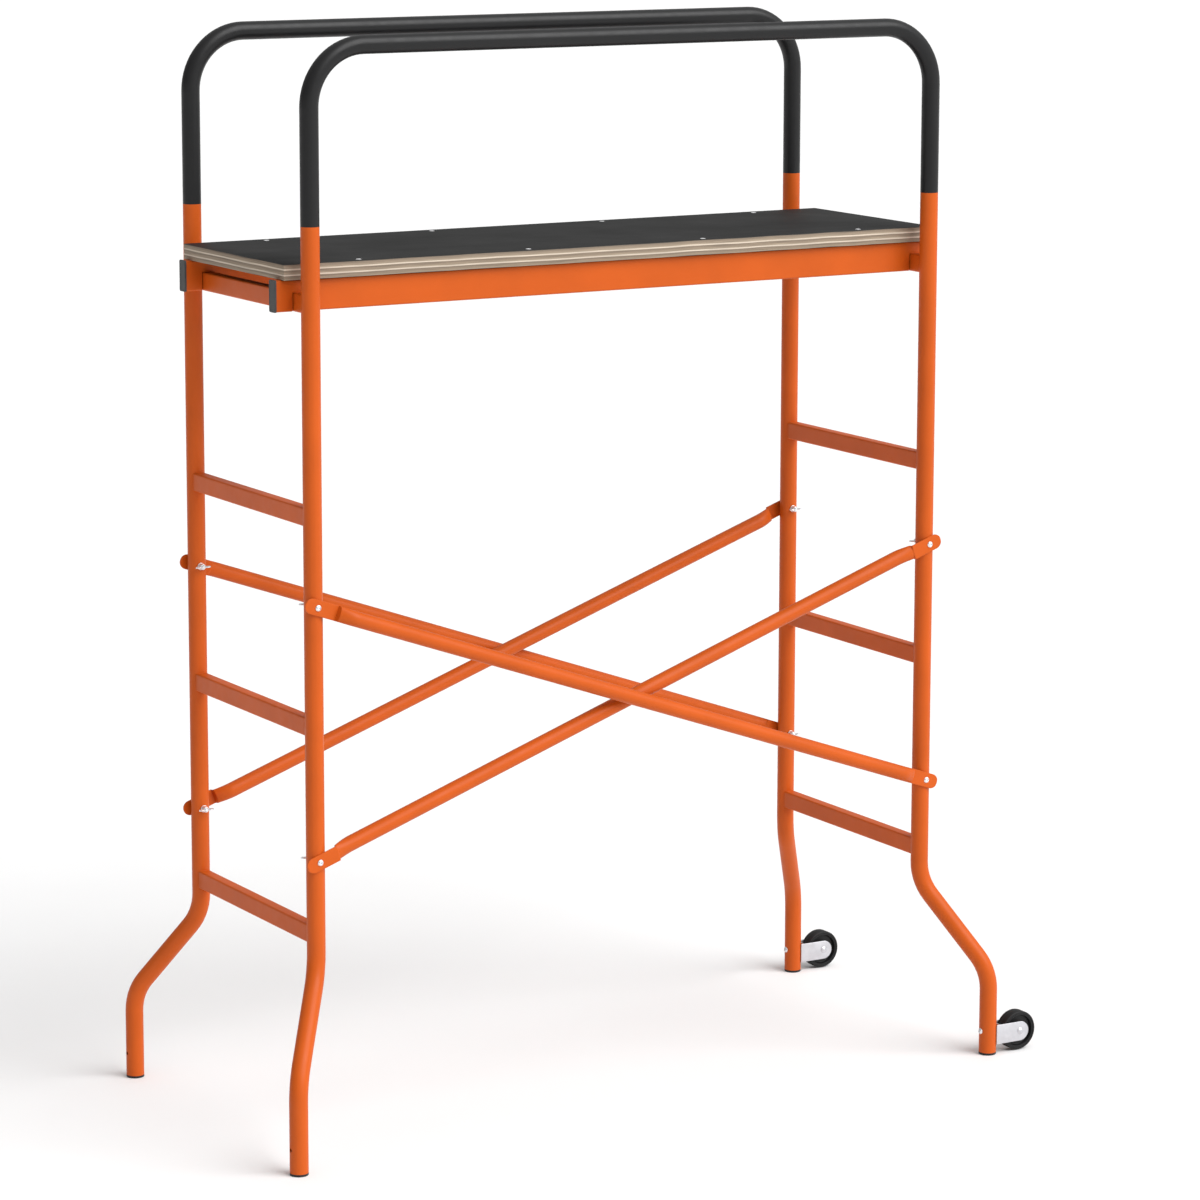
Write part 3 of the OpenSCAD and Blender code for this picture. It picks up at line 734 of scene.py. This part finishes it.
# ---------------------------------------------------------------- Wheels
# A moulded wheel, 68 mm across, with a rubber tyre. Its web is dished in from the rim to the hub,
# and a steel bush turns on a rivet that is headed over outside both cheeks of the fork.
wheel_r = (wheel_high.z - wheel_low.z) / 2 / MM
wheel_half_w = 11
tyre_t = 5
rim_r = wheel_r - tyre_t
shoulder_r = 2.5
bush_r = 5.55
bush_half_l = 11.5
bush_edge = 0.3
hub_wall = 4
web_half_t = 3
lip_inset = 1
axle_r = 4
rivet_r = 6.5
rivet_h = 2.6


def tyre_rubber(name):
    """Black rubber: matt, a little chalky, with a fine grain."""
    finish = new_finish(name)
    where = put(finish, "TexCoord", {}).outputs["Object"]
    cloud = mottle(finish, where, 55, 4)
    grain = mottle(finish, where, 1500, 3)
    dull, dusty = (0.0065, 0.0065, 0.0068), (0.0105, 0.0105, 0.011)
    shade(finish, {
        "Base Color": colours(finish, cloud, (0.3, dull), (0.7, dusty)),
        "Roughness": spread(finish, cloud, 0.5, 0.64),
        "Normal": raised(finish, grain, 0.03),
        "Specular IOR Level": 0.3,
    })
    return finish


rubber = tyre_rubber("tyre_rubber")
wheel_plastic = moulded_plastic("wheel_plastic", (0.008, 0.008, 0.0085), 0.42)


def both_ways(half):
    """A profile drawn for one side of the wheel, with its mirror image on the other side."""
    return half + [(r, -h) for r, h in reversed(half)]


tyre_half = [(rim_r, wheel_half_w - 0.9), (rim_r + 0.3, wheel_half_w - 0.5)]
tyre_half += arc(rim_r + 1.4, wheel_half_w - 0.45, 0.45, 180, 0, 6)
tyre_half += arc(wheel_r - shoulder_r, wheel_half_w - shoulder_r - 0.3, shoulder_r, 80, 0, 9)
tyre_half += [(wheel_r - 0.15, 1), (wheel_r, 0.3)]
tyre_profile = both_ways(list(reversed(tyre_half)))

hub_out_r = bush_r + hub_wall
lip_w = wheel_half_w - lip_inset
centre_half = [(bush_r, wheel_half_w - 0.4), (bush_r + 0.4, wheel_half_w)]
centre_half += arc(hub_out_r - 0.6, wheel_half_w - 0.6, 0.6, 90, 0, 4)
centre_half += arc(hub_out_r + 1.2, web_half_t + 1.2, 1.2, 180, 270, 5)
centre_half += arc(rim_r - 4, web_half_t + 1.2, 1.2, 270, 350, 5)
centre_half += [(rim_r - 1.8, lip_w - 0.4), (rim_r - 1.4, lip_w), (rim_r, lip_w)]

rivet_half = [(axle_r, fork_half_w), (rivet_r - 0.2, fork_half_w), (rivet_r, fork_half_w + 0.25)]
rivet_dome_r = (rivet_h**2 + rivet_r**2) / (2 * rivet_h)
for i in range(1, 10):
    r = rivet_r * cos(radians(10 * i))
    rise = (sqrt(rivet_dome_r**2 - r**2) - rivet_dome_r + rivet_h) / rivet_h
    rivet_half.append((r, fork_half_w + 0.1 + (rivet_h - 0.1) * rise))
bush_half = [(axle_r + 0.05, bush_half_l - bush_edge), (axle_r + 0.35, bush_half_l)]
bush_half += [(bush_r - bush_edge, bush_half_l), (bush_r, bush_half_l - bush_edge)]

rivets = bmesh.new()
for side, way_y in SIDES.items():
    axle = Matrix.Translation((axle_x, way_y * foot_y, axle_z)) @ Matrix.Rotation(pi / 2, 4, "X")
    body = f"wheel_{side}"
    shape = bmesh.new()
    turned(shape, axle, tyre_profile, sides=96, loop=True)
    make_piece(f"rubber_tyre_{side}", shape, rubber, body, "tyre_rubber", f"tyre_{side}")
    shape = bmesh.new()
    turned(shape, axle, both_ways(centre_half), sides=96, loop=True)
    node = f"wheel_centre_{side}"
    make_piece(f"wheel_moulding_{side}", shape, wheel_plastic, body, "wheel_plastic", node)
    shape = bmesh.new()
    turned(shape, axle, both_ways(bush_half), loop=True)
    make_piece(f"steel_bush_{side}", shape, zinc, body, "zinc_plated_steel", f"wheel_bush_{side}")
    turned(rivets, axle, [(r, -h) for r, h in reversed(rivet_half)] + rivet_half)
make_piece("headed_rivets", rivets, fork_zinc, "frame", "zinc_plated_steel", "axle_rivets")


# ---------------------------------------------------------------- Guard rails
# One 30 mm tube on each side, bent over both ends and powder coated satin black. Zinc-plated spigots
# in its ends drop into the tops of the uprights.
black_coat = powder_coat("black_powder_coat", (0.0095, 0.0095, 0.01), 0.38, 0.3, 0.025)
for side in SIDES:
    finish_nodes(black_coat, f"guard_rail_{side}")
    finish_nodes(zinc, f"guard_spigots_{side}")


# ---------------------------------------------------------------- Deck rails and crossbars
# Two 50 x 20 mm tubes run under the board's long edges and are notched over both bearers. Three
# 25 x 20 mm crossbars are welded between them, on their sides and underneath.
crossbar_w = 25
crossbar_h = 20
crossbar_weld_r = 1.6
corner_steps = 6

for side in SIDES:
    finish_nodes(orange_coat, f"deck_rail_{side}")
for station in ("left", "middle", "right"):
    bar = f"crossbar_{station}"
    finish_nodes(orange_coat, bar)
    low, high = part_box(bar)
    centre = (low + high) / 2 / MM
    outline = rounded_box(crossbar_w, crossbar_h, box_corner, corner_steps)
    top_middle = corner_steps + 2
    from_top = outline[top_middle:] + outline[:top_middle]
    under = [point for point in from_top if point[1] <= crossbar_h / 2 - box_corner]
    marks = even_steps(under, ripple / steps_in_ripple, loop=False)
    shape = bmesh.new()
    for face_y in (low.y / MM, high.y / MM):
        path = [Vector((centre.x + p.x, face_y, centre.z + p.y)) for p in marks]
        weld_bead(shape, path, (0, 1, 0), crossbar_weld_r, loop=False)
    make_piece(f"weld_{bar}", shape, orange_coat, "deck", "orange_powder_coat", crease=60)


# ---------------------------------------------------------------- Deck board
# Plywood, 25 mm thick, with a dark phenolic film pressed on both faces and bare edges that show
# three thick plies with two thin pale ones between. It is drilled and countersunk for its screws.
board_low, board_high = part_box("deck_board")
board_low, board_high = board_low / MM, board_high / MM
board_t = board_high.z - board_low.z
board_edge = 0.5
screw_low, screw_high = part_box("deck_screws")
screw_head_r = 4.6
screw_r = 2.4
screw_gap = 0.15
screw_head_h = 2.4
end_station = (screw_high.x - screw_low.x) / 2 / MM - screw_head_r
screw_row_y = screw_high.y / MM - screw_head_r
mid_station = 165


def film_face(name):
    """Phenolic film over veneer: dark, satin, with the grain showing through in faint streaks."""
    finish = new_finish(name)
    where = put(finish, "TexCoord", {}).outputs["Object"]
    drawn = put(finish, "Mapping", {"Vector": where, "Scale": (2.2, 60, 60)}).outputs["Vector"]
    streaks = mottle(finish, drawn, 1, 5)
    fine = put(finish, "Mapping", {"Vector": where, "Scale": (14, 480, 480)}).outputs["Vector"]
    pores = mottle(finish, fine, 1, 3)
    scuffs = mottle(finish, where, 7, 5)
    black, worn = (0.0125, 0.0125, 0.0125), (0.0175, 0.0175, 0.017)
    shade(finish, {
        "Base Color": colours(finish, streaks, (0.3, black), (0.7, worn)),
        "Roughness": spread(finish, scuffs, 0.6, 0.7),
        "Specular IOR Level": 0.15,
        "Normal": raised(finish, pores, 0.025, raised(finish, streaks, 0.05)),
        "IOR": 1.5,
    })
    return finish


def ply_edge(name, bottom, thickness):
    """Sawn edge of the plywood: plies in bands by height, with grain."""
    finish = new_finish(name)
    where = put(finish, "TexCoord", {}).outputs["Object"]
    height = put(finish, "SeparateXYZ", {"Vector": where}).outputs["Z"]
    slow = put(finish, "Mapping", {"Vector": where, "Scale": (9, 9, 1)}).outputs["Vector"]
    waver = spread(finish, mottle(finish, slow, 1, 3), -0.0005, 0.0005)
    wavy = put(finish, "Math", {0: height, 1: waver}, operation="ADD").outputs["Value"]
    place = spread(finish, wavy, 0, 1, bottom * MM, (bottom + thickness) * MM)
    brown, dark = (0.37, 0.29, 0.21), (0.22, 0.165, 0.115)
    cream, film = (0.68, 0.575, 0.46), (0.03, 0.028, 0.025)
    # Each thick ply runs from brown at its foot to a darker brown at its top, just under the pale ply or
    # the film above it: that darkening is painted shade.
    plies = colours(
        finish, place,
        (0, film), (0.012, film), (0.018, brown), (0.27, dark),
        (0.285, cream), (0.36, cream), (0.375, brown), (0.62, dark),
        (0.635, cream), (0.71, cream), (0.725, brown), (0.965, dark),
        (0.975, film), (1, film),
    )
    grain_at = put(finish, "Mapping", {"Vector": where, "Scale": (16, 16, 1300)}).outputs["Vector"]
    grain = mottle(finish, grain_at, 1, 5)
    tones = colours(finish, grain, (0.3, (0.6,) * 3), (0.7, (1.12,) * 3))
    mixed = put(finish, "Mix", {6: plies, 7: tones, 0: 1}, data_type="RGBA", blend_type="MULTIPLY")
    shade(finish, {
        "Base Color": mixed.outputs[2],
        "Roughness": 0.72,
        "Normal": raised(finish, grain, 0.12),
    })
    return finish


film = film_face("phenolic_film")
edge_plies = ply_edge("sawn_ply_edge", board_low.z, board_t)
stations = [
    (middle_x + x, y, board_high.z)
    for x in (-end_station, -mid_station, mid_station, end_station)
    for y in (-screw_row_y, screw_row_y)
]

board = bmesh.new()
size = (board_high - board_low) * MM
board_at = Matrix.Translation((board_low + board_high) / 2 * MM)
bmesh.ops.create_cube(board, size=1, matrix=board_at @ Matrix.Diagonal((*size, 1)))
bmesh.ops.bevel(
    board, geom=board.edges[:], offset=board_edge * MM, segments=2, affect="EDGES", profile=0.5
)
hole_r, sink_r = screw_r + screw_gap, screw_head_r + screw_gap
hole = [(hole_r, -2 * board_t), (hole_r, -screw_head_h), (sink_r, 0), (sink_r, 1)]
for station in stations:
    drill = bmesh.new()
    turned(drill, Matrix.Translation(station), hole, sides=32)
    board = combine(board, drill, "DIFFERENCE")
panel = make_piece("deck_panel", board, film, "deck", "film_faced_plywood", "deck_board")
panel.data.materials.append(edge_plies)
for face in panel.data.polygons:
    face.material_index = 0 if abs(face.normal.z) >= 0.95 else 1


# ---------------------------------------------------------------- Deck screws
# Eight countersunk screws with a cross recess hold the board to its rails. Their heads are slightly
# raised and plated bright and satin.
head_rise = 0.6
screw_l = 40
recess_turn = 0.4

screw_zinc = plated_metal("screw_zinc", (0.93, 0.93, 0.94), 0.5, 0.05, metallic=0.4)


def deck_screw():
    """Head and shank down from Z = 0, with a tapered cross recess."""
    screw = bmesh.new()
    shares = (0.1, 0.3, 0.5, 0.65, 0.8, 0.9, 0.97)
    body = [(screw_head_r * share, head_rise * (1 - share**2)) for share in shares]
    body += [(screw_head_r, -0.1), (screw_r, -screw_head_h), (screw_r, 2 - screw_l), (0.6, -screw_l)]
    turned(screw, Matrix.Identity(4), body, sides=40)
    for turn in (0, pi / 2):
        blade = bmesh.new()
        rings = [
            [(x, y, h) for x, y in ((-reach, -w), (reach, -w), (reach, w), (-reach, w))]
            for reach, w, h in ((2.4, 0.5, 1), (2.3, 0.45, 0.3), (0.9, 0.3, -1.5))
        ]
        skin(blade, rings)
        bmesh.ops.rotate(blade, matrix=Matrix.Rotation(turn + recess_turn, 3, "Z"), verts=blade.verts)
        screw = combine(screw, blade, "DIFFERENCE")
    return screw


shape = copies(deck_screw(), [Matrix.Translation(station) for station in stations])
make_piece("cross_head_screws", shape, screw_zinc, "deck", "zinc_plated_steel", "deck_screws", crease=30)


# ---------------------------------------------------------------- End caps
# A moulded dark grey cap closes each end of both deck rails: a 3 mm face with softened edges on a
# stem that is a push fit in the tube.
cap_plastic = moulded_plastic("end_cap_plastic", (0.05, 0.052, 0.052), 0.5)
rail_w = 20
rail_h = 50
cap_t = 3
cap_lip = 0.5
cap_stem = 12
cap_soft = 0.7
rail_low, rail_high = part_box("deck_rail_front")


def end_cap(bm, place):
    """Stem down and face up along the place's Z, with the tube's width along X."""
    stem_w, stem_h = rail_w - 3, rail_h - 3
    face_w, face_h = rail_w + 2 * cap_lip, rail_h + 2 * cap_lip
    steps = [(stem_w - 1, stem_h - 1, 1, -cap_stem), (stem_w, stem_h, 1.5, -cap_stem + 0.6)]
    steps += [(stem_w, stem_h, 1.5, 0), (face_w, face_h, 3, 0)]
    for inset, rise in arc(0, cap_t - cap_soft, cap_soft, 0, 90, 4):
        pull = 2 * (cap_soft - inset)
        steps.append((face_w - pull, face_h - pull, 3 - pull / 2, rise))
    steps += [(face_w - 4, face_h - 4, 1.5, cap_t), (face_w - 4.8, face_h - 4.8, 1.2, cap_t - 0.35)]
    rings = []
    for w, d, corner, h in steps:
        rings.append([place @ Vector((x, y, h)) for x, y in rounded_box(w, d, corner, 4)])
    skin(bm, rings)


rail_middle = (rail_low + rail_high) / 2 / MM
shape = bmesh.new()
for way_x, rail_end in ((-1, rail_low.x / MM), (1, rail_high.x / MM)):
    for way_y in SIDES.values():
        x, y, z = Vector((0, way_x, 0)), Vector((0, 0, 1)), Vector((way_x, 0, 0))
        place = Matrix.Translation((rail_end, -way_y * rail_middle.y, rail_middle.z))
        end_cap(shape, place @ Matrix((x, y, z)).transposed().to_4x4())
make_piece("moulded_end_caps", shape, cap_plastic, "deck", "black_plastic", "deck_end_caps")


# ---------------------------------------------------------------- Floor and light
# A pale studio floor that runs out to a white surround. The light is one broad soft key from the
# front right and a surround that is brighter on that side and overhead.
floor_r = 60


def floor_paint(name):
    """White paint with very faint clouds."""
    finish = new_finish(name)
    where = put(finish, "TexCoord", {}).outputs["Object"]
    cloud = mottle(finish, where, 1.5, 4)
    shade(finish, {
        "Base Color": colours(finish, cloud, (0.3, (0.89,) * 3), (0.7, (0.91,) * 3)),
        "Roughness": 0.7,
        "Specular IOR Level": 0.2,
    })
    return finish


floor_shape = bmesh.new()
bmesh.ops.create_circle(floor_shape, cap_ends=True, radius=floor_r, segments=96)
floor_mesh = bpy.data.meshes.new("floor")
floor_shape.to_mesh(floor_mesh)
floor_shape.free()
floor_mesh.materials.append(floor_paint("floor_paint"))
floor = bpy.data.objects.new("floor", floor_mesh)
bpy.context.scene.collection.objects.link(floor)

surround = bpy.data.worlds.new("surround")
surround.use_nodes = True

bright_side = Vector((0.55, -0.35, 0.75)).normalized()
direction = put(surround, "TexCoord", {}).outputs["Generated"]
towards = put(surround, "VectorMath", {0: direction, 1: bright_side}, operation="DOT_PRODUCT")
soft = spread(surround, towards.outputs["Value"], 0.06, 0.8, -1, 1)
seen = put(surround, "LightPath", {}).outputs["Is Camera Ray"]
strength = put(surround, "Mix", {0: seen, 2: soft, 3: 1}, data_type="FLOAT").outputs["Result"]
backdrop = surround.node_tree.nodes["Background"]
wire(surround, backdrop, {"Color": (1, 1, 1, 1), "Strength": strength})
bpy.context.scene.world = surround

key = bpy.data.objects.new("key", bpy.data.lights.new("key", "SUN"))
key.data.energy = 2.8
key.data.angle = radians(50)
key.rotation_euler = Vector((0.45, -0.8, 0.85)).to_track_quat("Z", "Y").to_euler()
bpy.context.scene.collection.objects.link(key)
